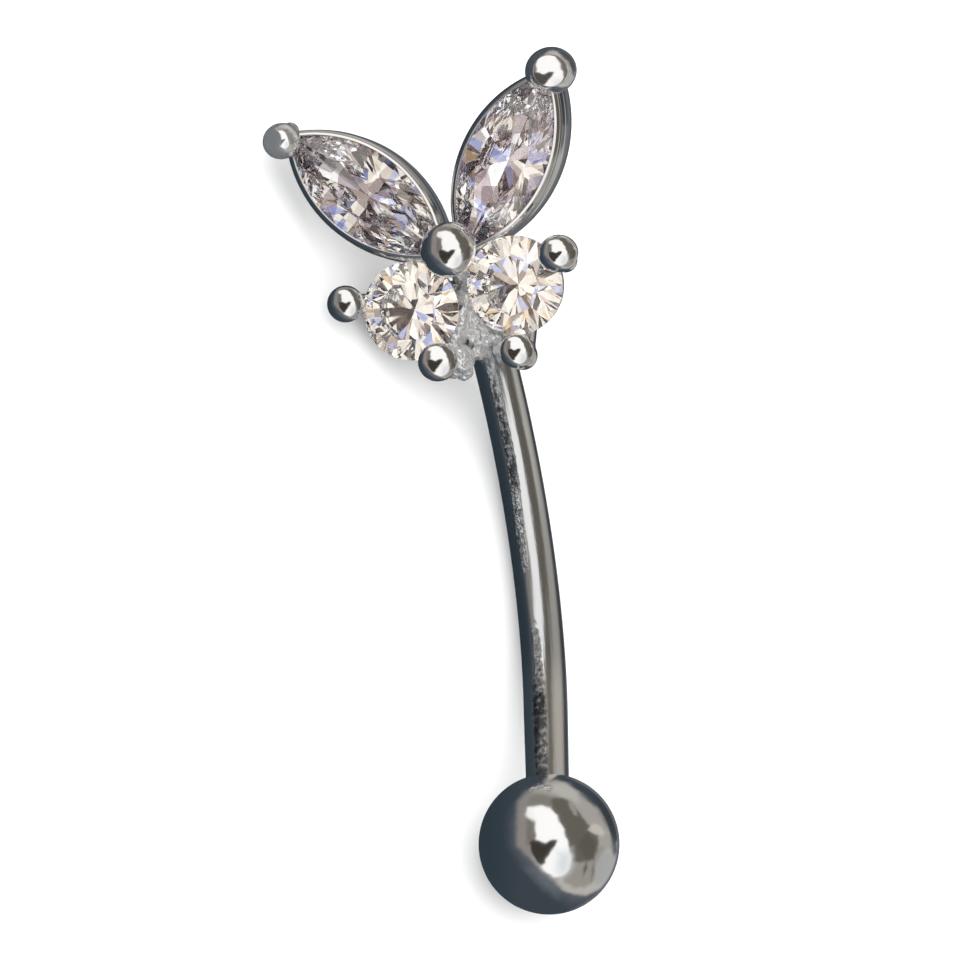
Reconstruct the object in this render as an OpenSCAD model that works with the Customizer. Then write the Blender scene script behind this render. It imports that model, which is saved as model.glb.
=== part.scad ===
// Curved eyebrow barbell: a butterfly of four cut stones on a bent bar, with a screw-on ball.
// The shapes are worked out in the jewel's frame: x to the butterfly's right, y up its body,
// z out of its face, with the origin on the stones' girdle plane. at_rest() then lays the
// whole thing down on its ball, its bar and one prong's foot, as it lies on a table.

/* [Bar] */
// Diameter of the bar
bar_d = 1.26; // [1.2:0.02:1.3]
// Radius of the bar's bend
bend_r = 16; // [15:0.5:18]
// Angle that the bend turns through
bend_angle = 37; // [35:1:40]
// Straight length between the bend and the ball
bar_straight = 2.8; // [2.4:0.1:3.2]
// Depth of the bar's axis behind the girdle plane, under the butterfly
bar_depth = 1.6; // [1.55:0.05:1.7]
// Distance from the butterfly's middle down to where the bend starts
bend_start = 3.6; // [3.4:0.1:4]

/* [Ball] */
// Diameter of the screw-on ball
ball_d = 4; // [3.8:0.1:4.2]
// Diameter of the hidden thread, at its crests
pin_d = 1.2; // [1.1:0.02:1.2]
// Length of the hidden thread
pin_length = 1.8; // [1.5:0.1:1.8]
// Radial clearance between the thread and its hole
thread_gap = 0.03; // [0.02:0.01:0.05]

/* [Round stones] */
// Diameter of a round stone
round_d = 2.85; // [2.7:0.05:2.85]
// Distance of a round stone's centre from the butterfly's midline
round_x = 1.6; // [1.58:0.01:1.65]
// Distance of a round stone's centre below the butterfly's middle
round_y = 1.33; // [1.3:0.01:1.36]

/* [Marquise stones] */
// Width of a marquise setting over its walls
wing_w = 2.84; // [2.8:0.01:2.86]
// Radius of the long arcs of that setting's outline
wing_arc = 4; // [3.95:0.01:4.05]
// Angle between a wing's length and the butterfly's midline
wing_angle = 40; // [39.5:0.1:40.5]
// Thickness of a setting's upper wall
wall = 0.18; // [0.16:0.01:0.2]

/* [Cut] */
// Size of the table facet as a share of the stone
table_share = 0.56; // [0.52:0.01:0.62]
// Crown angle of a stone
crown_angle = 34; // [32:1:36]
// Pavilion angle of a stone
pavilion_angle = 41; // [40:0.5:42]

/* [Hidden] */

$fn = 64;
steel = [0.55, 0.57, 0.6];
crystal = [0.9, 0.88, 0.86];

// Clearance around a set stone, and half of a stone's girdle thickness
stone_gap = 0.03;
girdle_half = 0.03;

// Where the bar's axis ends behind the butterfly, below its middle
bar_top = 0.15;

// Heights of the settings: rim above the girdle, and back edge below it
rim_z = 0.12;
back_z = -1.1;

// The wings were set by hand, and the left one leans, with its outer edge up
// columns: side, x and y of the centre, lean
wings = [
    [-1, -2.09, 2.20, 8],
    [ 1,  2.19, 2.17, 0],
];

// Thread seat: how far the flat on the ball, and the shoulder on the bar, lie from its centre
ball_r = ball_d / 2;
bar_r = bar_d / 2;
end_r = bar_r - 0.015;
pin_r = pin_d / 2;
flat_at = ball_r - 0.1;
shoulder_gap = 0.02;

// Prongs that hold the round stones
// columns: x, y and z of the ball tip, radius of the ball tip
prongs = [
    [-3.30, -0.71, 0.47, 0.53],
    [ 3.28, -0.73, 0.47, 0.54],
    [-1.07, -3.00, 0.53, 0.56],
    [ 1.40, -3.15, 0.47, 0.52],
];
prong_r = 0.28;
// A wire bends in at its knee, to a foot beside the stone's seat
knee_r = 0.30;
knee_z = -0.2;
foot_r = 0.31;
foot_z = -0.95;
foot_out = 1.2;

// Prongs at the wing tips, in the order of the wings, whose wires stand just past the stones
// columns: x, y and z of the ball tip, radius of the ball tip
tip_prongs = [
    [-3.99, 4.24, 0.60, 0.52],
    [ 4.35, 4.40, 0.68, 0.72],
];
tip_wire_r = 0.26;
tip_wire_gap = 0.05;
tip_foot_r = 0.28;
tip_foot_z = -0.6;

// The middle prong's ball tip stands over all four stones
middle_ball = [0.05, 0, 0.80];
middle_ball_r = 0.78;
middle_post = [0, -0.05];
middle_post_r = 0.26;

// Beads of solder between the settings and on the bar
// columns: x, y, z, radius
solder = [
    [ 0.04, -0.60, -0.78, 0.42],
    [-0.03, -1.34, -0.58, 0.43],
    [ 0.05, -1.86, -0.66, 0.44],
    [ 0.10, -2.35, -0.85, 0.50],
    [-0.25, -2.75, -0.95, 0.42],
    [-0.52, -3.00, -0.15, 0.40],
    [-0.50, -2.90, -0.65, 0.36],
    [ 0.62, -3.00, -0.75, 0.34],
];

// Lens outline: two arcs of radius arc, half_w from the middle line to each arc

function tip_angle(arc, half_w) = acos((arc - half_w) / arc);

module lens(arc, half_w) {
    intersection() {
        translate([0, half_w - arc])
            circle(r = arc);
        translate([0, arc - half_w])
            circle(r = arc);
    }
}

// A brilliant cut on a lens outline; a round stone is the lens whose arc is its half width.
// The girdle carries 16 stations t, 0 at one tip and 8 at the other. Even stations meet the
// eight bezel facets and pavilion mains, odd stations the halves between them.

function girdle_xy(arc, half_w, t) =
    t >= 8
    ? -girdle_xy(arc, half_w, t - 8)
    : let (a = tip_angle(arc, half_w) * (1 - t / 4))
        [arc * sin(a), arc * cos(a) - (arc - half_w)];

function facet_normal(arc, half_w, i) =
    i >= 4
    ? -facet_normal(arc, half_w, i - 4)
    : i == 0
        ? [1, 0]
        : let (a = tip_angle(arc, half_w) * (1 - i / 2)) [sin(a), cos(a)];

// Where the outline's tangents at two neighbouring facets cross
function facet_corner(arc, half_w, i) =
    let (
        n = facet_normal(arc, half_w, i),
        m = facet_normal(arc, half_w, (i + 1) % 8),
        hn = n * girdle_xy(arc, half_w, 2 * i),
        hm = m * girdle_xy(arc, half_w, (2 * i + 2) % 16),
        det = n.x * m.y - n.y * m.x
    )
    [(hn * m.y - hm * n.y) / det, (n.x * hm - m.x * hn) / det];

// Height at xy of the plane through three points
function plane_z(a, b, c, xy) =
    let (n = cross(b - a, c - a))
    a.z - (n.x * (xy.x - a.x) + n.y * (xy.y - a.y)) / n.z;

star_share = 0.72;
half_share = 0.24;

module brilliant(arc, half_w) {
    crown_h = (1 - table_share) * half_w * tan(crown_angle);
    pavilion_h = half_w * tan(pavilion_angle);
    star_z = girdle_half + crown_h * (1 - star_share) / (1 - table_share);
    half_z = -girdle_half - pavilion_h * (1 - half_share);
    tables = [for (i = [0:7])
        let (p = table_share * girdle_xy(arc, half_w, 2 * i)) [p.x, p.y, girdle_half + crown_h]];
    stars = [for (i = [0:7])
        let (p = star_share * facet_corner(arc, half_w, i)) [p.x, p.y, star_z]];
    halves = [for (i = [0:7])
        let (p = half_share * facet_corner(arc, half_w, i)) [p.x, p.y, half_z]];
    culet = [0, 0, -girdle_half - pavilion_h];
    // Each half facet has one more girdle point, on its own plane
    function station(t, z) = let (p = girdle_xy(arc, half_w, t % 16)) [p.x, p.y, z];
    function rim(j, inner, z) =
        j % 2 == 0
        ? station(j / 2, z)
        : let (p = girdle_xy(arc, half_w, j / 2))
            [p.x, p.y, plane_z(inner[floor(j / 4)], station((j - 1) / 2, z), station((j + 1) / 2, z), p)];
    upper = [for (j = [0:31]) rim(j, stars, girdle_half)];
    lower = [for (j = [0:31]) rim(j, halves, -girdle_half)];
    points = concat(tables, stars, upper, lower, halves, [culet]);
    star0 = 8;
    upper0 = 16;
    lower0 = 48;
    half0 = 80;
    tip = 88;
    faces = concat(
        [[7, 6, 5, 4, 3, 2, 1, 0]],
        [for (i = [0:7]) [i, (i + 1) % 8, star0 + i]],
        [for (i = [0:7]) [i, star0 + i, upper0 + 4 * i, star0 + (i + 7) % 8]],
        [for (i = [0:7]) [star0 + i, upper0 + 4 * i + 2, upper0 + 4 * i + 1, upper0 + 4 * i]],
        [for (i = [0:7])
            [star0 + i, upper0 + (4 * i + 4) % 32, upper0 + 4 * i + 3, upper0 + 4 * i + 2]],
        [for (j = [0:31]) [upper0 + j, upper0 + (j + 1) % 32, lower0 + (j + 1) % 32, lower0 + j]],
        [for (i = [0:7]) [half0 + i, lower0 + 4 * i, lower0 + 4 * i + 1, lower0 + 4 * i + 2]],
        [for (i = [0:7])
            [half0 + i, lower0 + 4 * i + 2, lower0 + 4 * i + 3, lower0 + (4 * i + 4) % 32]],
        [for (i = [0:7]) [tip, half0 + (i + 7) % 8, lower0 + 4 * i, half0 + i]]
    );
    polyhedron(points = points, faces = faces);
}

// Places in the jewel's frame

module on_wing(wing) {
    translate([wing[1], wing[2], 0])
        rotate([0, 0, 90 - wing[0] * wing_angle])
            rotate([-wing[0] * wing[3], 0, 0])
                children();
}

// The place of a point p that on_wing() moves
function from_wing(wing, p) =
    let (
        turn = 90 - wing[0] * wing_angle,
        lean = -wing[0] * wing[3],
        y = p.y * cos(lean) - p.z * sin(lean),
        z = p.y * sin(lean) + p.z * cos(lean)
    )
    [wing[1] + p.x * cos(turn) - y * sin(turn), wing[2] + p.x * sin(turn) + y * cos(turn), z];

// Where the upright wire of a wing's tip prong stands
function tip_wire(wing, z) =
    let (
        arc = wing_arc - wall - stone_gap,
        half_w = wing_w / 2 - wall - stone_gap,
        foot = from_wing(wing, [arc * sin(tip_angle(arc, half_w)) + tip_wire_gap + tip_wire_r, 0, 0])
    )
    [foot.x, foot.y, z];

// Foot of a round stone's prong
function foot_of(row) =
    let (seat = [sign(row.x) * round_x, -round_y], out = [row.x, row.y] - seat)
    [seat.x + foot_out * unit(out).x, seat.y + foot_out * unit(out).y, foot_z];

function bend_point(a) =
    [0, -bend_start - bend_r * sin(a), -bar_depth + bend_r * (1 - cos(a))];

end_dir = [0, -cos(bend_angle), sin(bend_angle)];
shoulder = bend_point(bend_angle) + bar_straight * end_dir;
ball_at = shoulder + (flat_at + shoulder_gap) * end_dir;

// The bar: a round-ended straight under the butterfly, the bend, and a straight with its thread.
// The last straight is a hair thinner than the bend, and starts inside it.

module bar() {
    top_length = bend_start - bar_top;
    sunk = 0.3;
    chamfer = 0.1;
    translate([0, -bend_start, -bar_depth])
        rotate([-90, 0, 0])
            rotate_extrude() {
                square([bar_r, top_length]);
                intersection() {
                    translate([0, top_length])
                        circle(r = bar_r);
                    square([bar_r, top_length + bar_d]);
                }
            }
    translate([0, -bend_start, bend_r - bar_depth])
        rotate([0, 90, 0])
            rotate_extrude(angle = -bend_angle, start = 0)
                translate([bend_r, 0])
                    circle(r = bar_r);
    translate(bend_point(bend_angle))
        rotate([90 - bend_angle, 0, 0])
            rotate_extrude()
                polygon([
                    [0, -sunk],
                    [end_r, -sunk],
                    [end_r, bar_straight],
                    [pin_r, bar_straight],
                    [pin_r, bar_straight + pin_length - chamfer],
                    [pin_r - chamfer, bar_straight + pin_length],
                    [0, bar_straight + pin_length],
                ]);
}

// A marquise setting: a lens-shaped wall with a ledge under the stone. It is let in beside the
// round stone.

module marquise_setting(wing) {
    ledge_z = -0.17;
    ledge = 0.14;
    let_in_z = -0.45;
    difference() {
        on_wing(wing)
            difference() {
                translate([0, 0, back_z])
                    linear_extrude(rim_z - back_z)
                        lens(wing_arc, wing_w / 2);
                translate([0, 0, ledge_z])
                    linear_extrude(1)
                        lens(wing_arc - wall, wing_w / 2 - wall);
                translate([0, 0, back_z - 1])
                    linear_extrude(3)
                        lens(wing_arc - wall - ledge, wing_w / 2 - wall - ledge);
            }
        translate([wing[0] * round_x, -round_y, let_in_z])
            cylinder(r = round_d / 2 + stone_gap, h = 1);
    }
}

// A round stone's seat: a tapered ring that follows the pavilion, smaller than the stone

module round_seat(side) {
    top_r = round_d / 2 - 0.05;
    low_r = 0.98;
    low_z = -1.15;
    wall_top = 0.1;
    drop = tan(pavilion_angle);
    // inner face, stone_gap clear of the pavilion
    in_r = low_r - 0.24;
    function clear_z(r) = -girdle_half - (round_d / 2 - r) * drop - stone_gap / cos(pavilion_angle);
    translate([side * round_x, -round_y, 0])
        rotate_extrude()
            polygon([
                [top_r - wall_top, clear_z(top_r - wall_top)],
                [top_r, clear_z(top_r)],
                [top_r, -0.32],
                [low_r, low_z],
                [in_r, low_z],
                [in_r, clear_z(in_r)],
            ]);
}

// A straight wire between two points

module rod(start, end, r) {
    way = end - start;
    translate(start)
        rotate([0, acos(way.z / norm(way)), atan2(way.y, way.x)])
            cylinder(r = r, h = norm(way));
}

// A prong of a round stone: a ball tip on a wire that bends in under the stone

module prong(row) {
    knee = [row.x, row.y, knee_z];
    translate([row.x, row.y, row.z])
        sphere(r = row[3]);
    rod(knee, [row.x, row.y, row.z], prong_r);
    translate(knee)
        sphere(r = knee_r);
    rod(foot_of(row), knee, prong_r);
    translate(foot_of(row))
        sphere(r = foot_r);
}

// A prong at the tip of a wing

module tip_prong(wing, row) {
    translate([row.x, row.y, row.z])
        sphere(r = row[3]);
    rod(tip_wire(wing, tip_foot_z), tip_wire(wing, row.z), tip_wire_r);
    translate(tip_wire(wing, tip_foot_z))
        sphere(r = tip_foot_r);
}

// The middle prong, the rails that tie the settings to the bar, and the solder

module middle() {
    rail_r = 0.28;
    rail_z = -1.0;
    rail_half = 0.78;
    translate([middle_post.x, middle_post.y, -bar_depth])
        cylinder(r = middle_post_r, h = bar_depth + middle_ball.z);
    translate(middle_ball)
        sphere(r = middle_ball_r);
    for (y = [-round_y + 0.3, -round_y - 0.35])
        translate([-rail_half, y, rail_z])
            rotate([0, 90, 0])
                cylinder(r = rail_r, h = 2 * rail_half);
    // beads where a round seat meets a marquise wall, and where the two walls meet
    for (side = [-1, 1])
        translate([side * 1.2, 0.1, -0.85])
            cylinder(r = 0.22, h = 0.5);
    translate([0, 0.55, back_z + 0.05])
        cylinder(r = 0.26, h = 0.9);
    for (bead = solder)
        translate([bead.x, bead.y, bead.z])
            sphere(r = bead[3]);
}

// Rest pose: the plane under the ball, the left prong's foot and the bar

function unit(v) = v / norm(v);

// The direction straight down onto the plane that touches three balls from below
function down_onto(a, ra, b, rb, c, rc, guess) =
    let (
        u = a - b,
        v = a - c,
        p = rb - ra,
        q = rc - ra,
        det = (u * u) * (v * v) - (u * v) * (u * v),
        in_plane = (p * (v * v) - q * (u * v)) / det * u + (q * (u * u) - p * (u * v)) / det * v,
        across = unit(cross(u, v)),
        facing = across * guess > 0 ? across : -across
    )
    in_plane + sqrt(1 - in_plane * in_plane) * facing;

foot_at = foot_of(prongs[0]);

// The bar touches where its centre line runs level, so each step finds that point again
function settle(down, steps) =
    steps == 0
    ? down
    : settle(
        down_onto(ball_at, ball_r, foot_at, foot_r,
            bend_point(atan(down.y / down.z)), bar_r, down),
        steps - 1);

down = settle([-0.7, -0.3, -0.65], 12);
floor_z = -down;
floor_y = unit([0, 1, 0] - floor_z.y * floor_z);
floor_x = cross(floor_y, floor_z);

// Balls and corners that reach furthest, for the middle of the floor that the part covers
reach = concat(
    [[ball_at, ball_r]],
    [for (wing = wings, t = [0:0.25:15.75])
        let (p = girdle_xy(wing_arc, wing_w / 2, t)) [from_wing(wing, [p.x, p.y, back_z]), 0]],
    [for (row = prongs) each [[[row.x, row.y, row.z], row[3]], [foot_of(row), foot_r]]],
    [for (row = tip_prongs) [[row.x, row.y, row.z], row[3]]],
    [for (wing = wings) [tip_wire(wing, tip_foot_z), tip_foot_r]]
);

function middle_of(axis) =
    (max([for (b = reach) axis * b[0] + b[1]]) + min([for (b = reach) axis * b[0] - b[1]])) / 2;

module at_rest() {
    multmatrix([
        [floor_x.x, floor_x.y, floor_x.z, -middle_of(floor_x)],
        [floor_y.x, floor_y.y, floor_y.z, -middle_of(floor_y)],
        [floor_z.x, floor_z.y, floor_z.z, down * ball_at + ball_r],
    ])
        children();
}

// Nodes

module bar_and_setting() {
    color(steel)
        at_rest() {
            bar();
            for (wing = wings)
                marquise_setting(wing);
            for (side = [-1, 1])
                round_seat(side);
            for (row = prongs)
                prong(row);
            for (i = [0, 1])
                tip_prong(wings[i], tip_prongs[i]);
            middle();
        }
}

module screw_ball() {
    bore_depth = pin_length + 0.1;
    color(steel)
        at_rest()
            translate(ball_at)
                rotate([90 - bend_angle, 0, 0])
                    difference() {
                        sphere(r = ball_r);
                        translate([0, 0, -ball_d - flat_at])
                            cylinder(r = ball_d, h = ball_d);
                        translate([0, 0, -flat_at - 1])
                            cylinder(r = pin_r + thread_gap, h = bore_depth + 1);
                    }
}

module marquise_stone(wing) {
    inset = wall + stone_gap;
    color(crystal)
        at_rest()
            on_wing(wing)
                brilliant(wing_arc - inset, wing_w / 2 - inset);
}

module round_stone(side) {
    turn = 9 * side;
    color(crystal)
        at_rest()
            translate([side * round_x, -round_y, 0])
                rotate([0, 0, turn])
                    brilliant(round_d / 2, round_d / 2);
}

module stone_upper_left() {
    marquise_stone(wings[0]);
}

module stone_upper_right() {
    marquise_stone(wings[1]);
}

module stone_lower_left() {
    round_stone(-1);
}

module stone_lower_right() {
    round_stone(1);
}

bar_and_setting();
screw_ball();
stone_upper_left();
stone_upper_right();
stone_lower_left();
stone_lower_right();
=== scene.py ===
import math
import random

import bmesh
import bpy
from mathutils import Matrix, Vector, noise


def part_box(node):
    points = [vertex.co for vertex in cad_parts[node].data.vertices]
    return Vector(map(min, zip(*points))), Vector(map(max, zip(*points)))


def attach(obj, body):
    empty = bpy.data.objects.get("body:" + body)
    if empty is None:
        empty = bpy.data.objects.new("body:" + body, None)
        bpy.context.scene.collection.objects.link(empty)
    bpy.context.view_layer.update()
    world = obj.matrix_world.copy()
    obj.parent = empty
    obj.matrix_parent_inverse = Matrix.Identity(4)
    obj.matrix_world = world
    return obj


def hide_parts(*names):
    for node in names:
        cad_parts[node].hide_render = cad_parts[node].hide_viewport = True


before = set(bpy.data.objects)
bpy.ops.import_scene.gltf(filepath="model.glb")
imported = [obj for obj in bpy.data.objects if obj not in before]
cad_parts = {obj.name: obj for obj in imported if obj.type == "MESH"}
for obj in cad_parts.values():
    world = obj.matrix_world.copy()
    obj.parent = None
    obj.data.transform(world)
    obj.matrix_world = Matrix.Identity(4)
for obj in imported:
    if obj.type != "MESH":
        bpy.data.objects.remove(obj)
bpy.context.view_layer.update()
scene = bpy.context.scene

# Sizes are in millimetres in the jewel's own frame: x to the butterfly's right, y up its body, z out of its
# face, with the origin on the stones' girdle plane. layDown takes that frame to the table and to metres.

barbell = {
    "barRadius": 0.63, "endRadius": 0.615, "bendRadius": 16, "bendAngle": 37, "bendStart": 3.6,
    "axisBack": 1.6, "axisTop": 0.15, "straight": 2.8, "ballRadius": 2.0, "flatIn": 0.1, "shoulderGap": 0.02,
}
wing = {"arc": 4.0, "halfWidth": 1.42, "angle": 40, "wall": 0.18, "stoneGap": 0.03}
wings = {
    "Left": {"side": -1, "x": -2.09, "y": 2.2, "lean": 8},
    "Right": {"side": 1, "x": 2.19, "y": 2.17, "lean": 0},
}
roundStone = {"radius": 1.425, "x": 1.6, "y": -1.33}
wires = {"radius": 0.28, "kneeRadius": 0.3, "kneeZ": -0.2, "footRadius": 0.31, "footZ": -0.95}
# each wire's place, its tip (half widths, and how much of its height is left outside), the way that the tip
# faces, how far out its foot is, and the lobe of its neck that the tip doesn't hide
sideTips = {
    "sideProngLeft": {"x": -3.3, "y": -0.71, "tip": (-3.285, -0.69, 0.6), "size": (0.53, 0.53, 0.56),
                      "facing": (0.2, 0.024, 0.985), "tuck": 1.2, "neck": (-3.22, -0.76, 0.1, 0.36)},
    "sideProngRight": {"x": 3.28, "y": -0.73, "tip": (3.25, -0.755, 0.6), "size": (0.585, 0.54, 0.56),
                       "facing": (0.292, 0, 0.956), "tuck": 1.1, "neck": (3.25, -0.99, 0.05, 0.35)},
    "lowerProngLeft": {"x": -1.07, "y": -3.0, "tip": (-0.98, -2.94, 0.66), "size": (0.575, 0.56, 0.46),
                       "facing": (0.292, 0, 0.956), "tuck": 1.1, "neck": (-0.98, -2.95, 0.15, 0.4)},
    "lowerProngRight": {"x": 1.4, "y": -3.15, "tip": (1.37, -3.175, 0.6), "size": (0.5, 0.5, 0.47),
                        "facing": (0.292, 0, 0.956), "tuck": 0.95, "neck": (1.36, -3.33, 0.1, 0.43)},
}


# Places along the bar

def bendPoint(degrees):
    turned = math.radians(degrees)
    sag = barbell["bendRadius"] * (1 - math.cos(turned))
    down = barbell["bendStart"] + barbell["bendRadius"] * math.sin(turned)
    return Vector((0, -down, sag - barbell["axisBack"]))


endTurn = math.radians(barbell["bendAngle"])
endWay = Vector((0, -math.cos(endTurn), math.sin(endTurn)))
bendEnd = bendPoint(barbell["bendAngle"])
shoulder = bendEnd + barbell["straight"] * endWay
ballCentre = shoulder + (barbell["ballRadius"] - barbell["flatIn"] + barbell["shoulderGap"]) * endWay


# The rest pose: the plane under the ball, the left prong's foot and the bar

def footOf(row):
    # a wire's foot stands beside its round stone's seat
    x, y = row["x"], row["y"]
    middle = Vector((math.copysign(roundStone["x"], x), roundStone["y"], wires["footZ"]))
    out = (Vector((x, y, wires["footZ"])) - middle).normalized()
    return middle + row["tuck"] * out


def planeUnder(balls, guess):
    # the way down to the plane that touches three balls, on the side of the guess
    (a, ra), (b, rb), (c, rc) = balls
    u, v, p, q = a - b, a - c, rb - ra, rc - ra
    det = u.dot(u) * v.dot(v) - u.dot(v) ** 2
    inPlane = (p * v.dot(v) - q * u.dot(v)) / det * u + (q * u.dot(u) - p * u.dot(v)) / det * v
    across = u.cross(v).normalized()
    across *= 1 if across.dot(guess) > 0 else -1
    return inPlane + math.sqrt(1 - inPlane.length_squared) * across


laying = {"guess": (-0.7, -0.3, -0.65), "rounds": 12}


def layDown():
    # the point of the bend that touches depends on the plane, so the plane is found in a few rounds
    foot = (footOf(sideTips["sideProngLeft"]), wires["footRadius"])
    ball = (ballCentre, barbell["ballRadius"])
    down = Vector(laying["guess"])
    for _ in range(laying["rounds"]):
        touching = bendPoint(math.degrees(math.atan(down.y / down.z)))
        down = planeUnder([ball, foot, (touching, barbell["barRadius"])], down)
    up = -down
    along = (Vector((0, 1, 0)) - up.y * up).normalized()
    return Matrix((along.cross(up), along, up))


turn = layDown()
low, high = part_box("screw_ball")
ballAt = (low + high) / 2 * 1000
ballAt.z = barbell["ballRadius"]
jewelToTable = Matrix.Translation(ballAt) @ turn.to_4x4() @ Matrix.Translation(-ballCentre)
toMetres = Matrix.Scale(0.001, 4) @ jewelToTable
print("laid down, up from the table is", [round(v, 4) for v in turn[2]])


# Mesh making

tiny = 1e-6


def addObject(name, data):
    made = bpy.data.objects.new(name, data)
    scene.collection.objects.link(made)
    return made


def finishPiece(name, mesh, material, sharpAngle=40, smooth=True, body="barbell",
                nodes=("bar_and_setting",)):
    bmesh.ops.recalc_face_normals(mesh, faces=mesh.faces)
    if mesh.calc_volume(signed=True) < 0:
        bmesh.ops.reverse_faces(mesh, faces=mesh.faces)
    mesh.transform(toMetres)
    for face in mesh.faces:
        face.smooth = smooth
    for edge in mesh.edges:
        if len(edge.link_faces) == 2 and edge.calc_face_angle() > math.radians(sharpAngle):
            edge.smooth = False
    data = bpy.data.meshes.new(name)
    mesh.to_mesh(data)
    mesh.free()
    piece = addObject(name, data)
    data.materials.append(material)
    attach(piece, body)
    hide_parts(*nodes)
    return piece


def ringsToFaces(mesh, rings, capped=True):
    # a ring of one point is a pole, where two corners of each face are the same
    for ring, following in zip(rings, rings[1:]):
        count = max(len(ring), len(following))
        for i in range(count):
            j = (i + 1) % count
            corners = [ring[i % len(ring)], ring[j % len(ring)]]
            corners += [following[j % len(following)], following[i % len(following)]]
            mesh.faces.new(tuple(dict.fromkeys(corners)))
    if capped:
        mesh.faces.new(list(reversed(rings[0])))
        mesh.faces.new(rings[-1])


def lathe(mesh, profile, place, segments):
    # profile points are radius and height; a radius of 0 is a pole
    rings = []
    for radius, height in profile:
        ring = []
        for i in range(segments if radius > tiny else 1):
            a = 2 * math.pi * i / segments
            ring.append(mesh.verts.new(place @ Vector((radius * math.cos(a), radius * math.sin(a), height))))
        rings.append(ring)
    ringsToFaces(mesh, rings, capped=False)


def arcProfile(centreHeight, radius, fromDegrees, toDegrees, steps):
    points = []
    for i in range(steps + 1):
        a = math.radians(fromDegrees + (toDegrees - fromDegrees) * i / steps)
        points.append((max(0, radius * math.cos(a)), centreHeight + radius * math.sin(a)))
    return points


# how near its poles a ball's rings begin, in degrees
poleGap = 3


def ballProfile(radius, steps):
    return [(0, -radius)] + arcProfile(0, radius, poleGap - 90, 90 - poleGap, steps) + [(0, radius)]


def bead(mesh, centre, radius, segments=32):
    lathe(mesh, ballProfile(radius, segments * 3 // 4), Matrix.Translation(centre), segments)


def pressedTip(mesh, centre, facing, size, deep=1.0, segments=96):
    # a ball end whose outer half was pressed flatter
    wide, tall, flat = size
    pressed = [(radius, height * (flat if height > 0 else deep)) for radius, height in ballProfile(1, 72)]
    place = towards(Vector(centre), Vector(facing)) @ Matrix.Diagonal((wide, tall, wide, 1))
    lathe(mesh, pressed, place, segments)


def facedTip(mesh, tip):
    # a ball end pressed to a nearly flat face, off its middle; "slope" is the tilt at the face's edge
    slope = math.radians(tip["slope"])
    corner = math.acos(tip["face"] + tip["edge"])
    bend = tip["face"] / math.sin(slope)
    top = math.sin(corner) * tip["rise"] + tip["edge"]
    profile = [(0, -tip["deep"])]
    profile += [(radius, height * tip["deep" if height < 0 else "rise"])
                for radius, height in arcProfile(0, 1, poleGap - 90, math.degrees(corner), tip["sideSteps"])]
    for i in range(tip["faceSteps"] + 1):
        a = slope * (1 - i / tip["faceSteps"])
        profile.append((bend * math.sin(a), top + bend * (math.cos(a) - math.cos(slope))))
    lean = Matrix(((1, 0, tip["leanX"], 0), (0, 1, tip["leanY"], 0), (0, 0, 1, 0), (0, 0, 0, 1)))
    size = Matrix.Diagonal((tip["wide"], tip["tall"], tip["wide"], 1))
    place = towards(Vector(tip["centre"]), Vector(tip["up"])) @ size @ lean
    lathe(mesh, profile, place, tip["segments"])


def rod(mesh, start, end, radius, segments=32):
    place = towards(start, end - start)
    length = (end - start).length
    lathe(mesh, [(0, 0), (radius, 0), (radius, length), (0, length)], place, segments)


def towards(origin, direction):
    z = direction.normalized()
    sideHint = Vector((1, 0, 0)) if abs(z.x) < 0.9 else Vector((0, 0, 1))
    x = (sideHint - sideHint.dot(z) * z).normalized()
    y = z.cross(x)
    place = Matrix((x, y, z)).transposed().to_4x4()
    place.translation = origin
    return place


def smoothStep(low, high, value):
    t = min(1, max(0, (value - low) / (high - low)))
    return t * t * (3 - 2 * t)


# Shader making

class Field:
    # a shader socket; maths on it adds nodes

    def __init__(self, maker, socket):
        self.maker, self.socket = maker, socket

    def maths(self, operation, *values):
        return self.maker.node("Math", {"operation": operation}, dict(enumerate((self,) + values)))

    def __add__(self, other):
        return self.maths("ADD", other)

    __radd__ = __add__

    def __sub__(self, other):
        return self.maths("SUBTRACT", other)

    def __rsub__(self, other):
        return self.maker.node("Math", {"operation": "SUBTRACT"}, {0: other, 1: self})

    def __mul__(self, other):
        return self.maths("MULTIPLY", other)

    def __truediv__(self, other):
        return self.maths("DIVIDE", other)

    def __pow__(self, power):
        return self.maths("POWER", power)


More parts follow.
